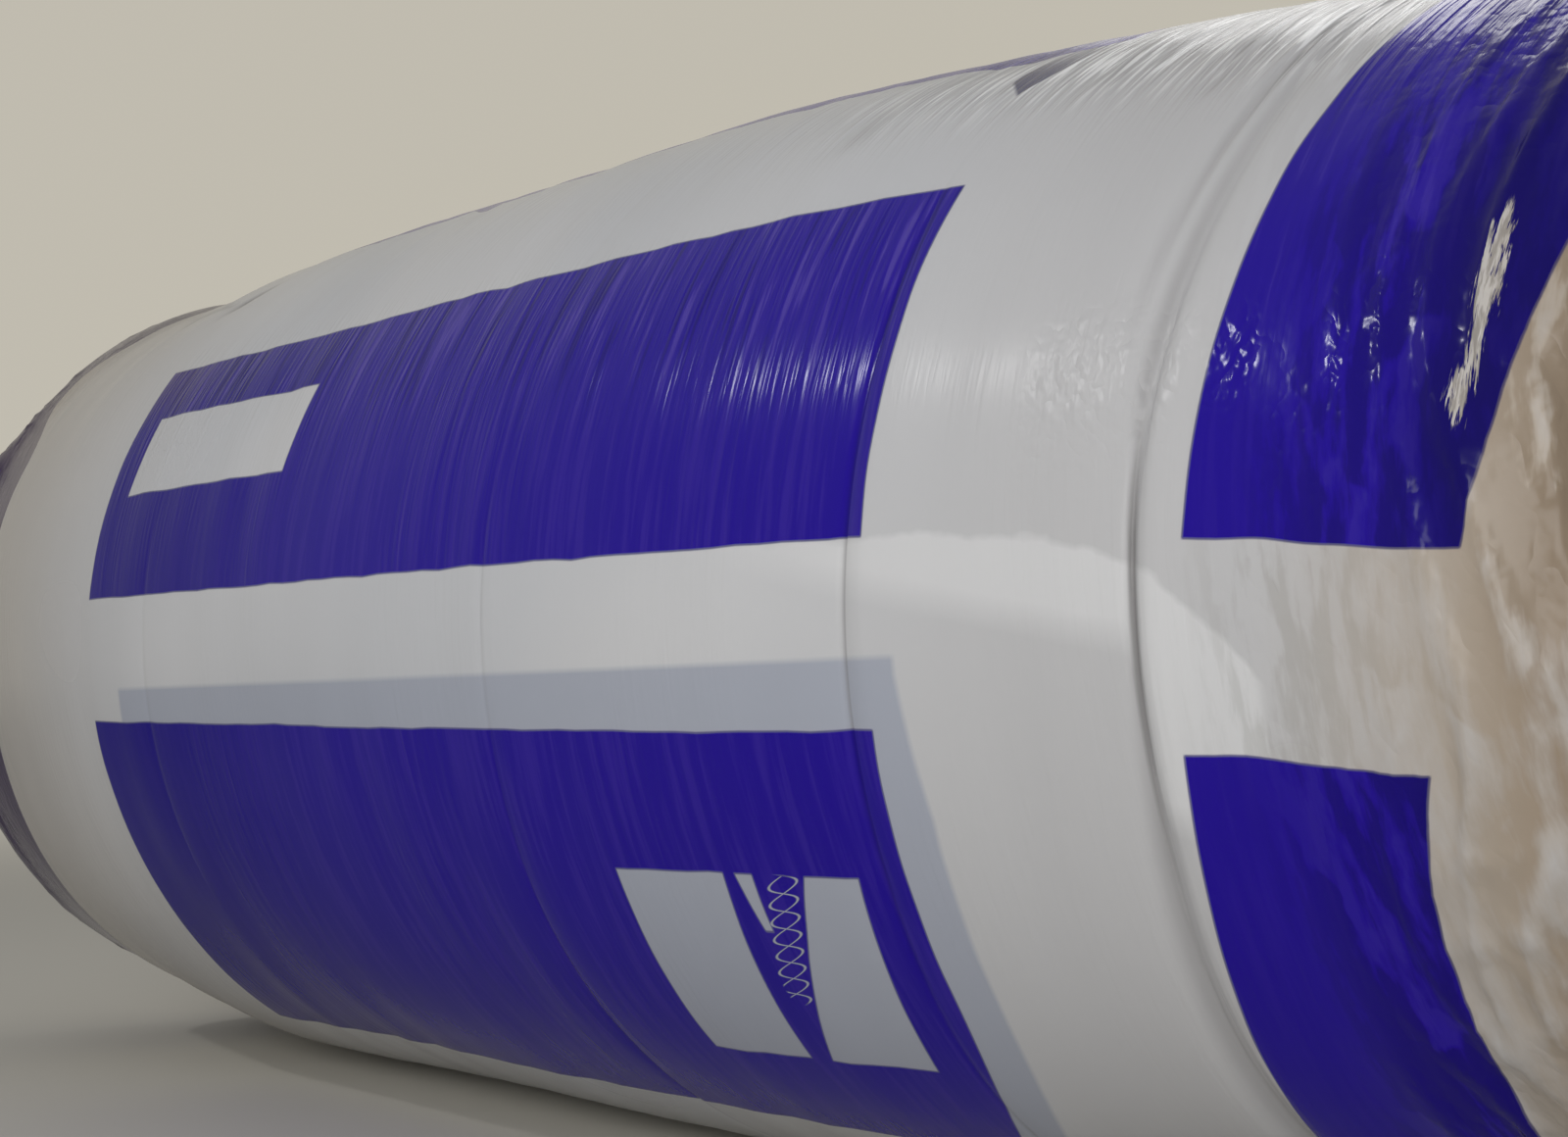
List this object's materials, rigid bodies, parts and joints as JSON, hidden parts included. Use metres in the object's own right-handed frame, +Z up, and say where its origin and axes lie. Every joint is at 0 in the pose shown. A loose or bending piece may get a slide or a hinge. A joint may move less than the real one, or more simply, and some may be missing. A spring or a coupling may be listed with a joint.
{
  "type": "insulation roll",
  "caption": "Roll of glass wool blanket in a printed polythene sleeve, lying on its side, with the film turned in and gathered over both ends.",
  "frame": {"origin": "on the floor, under the middle of the roll as it lies on its side", "axes": "+X along the roll towards the end that is near in the picture, +Z up, the picture is taken from the -Y side"},
  "size_m": [1.2044, 0.5146, 0.5145],
  "materials": {
    "wool": "matte tan glass fibre",
    "film": "glossy white polythene film with a blue-violet print"
  },
  "bodies": {
    "root": {"wool_roll": "wool", "film_sleeve": "film"}
  },
  "joints": []
}
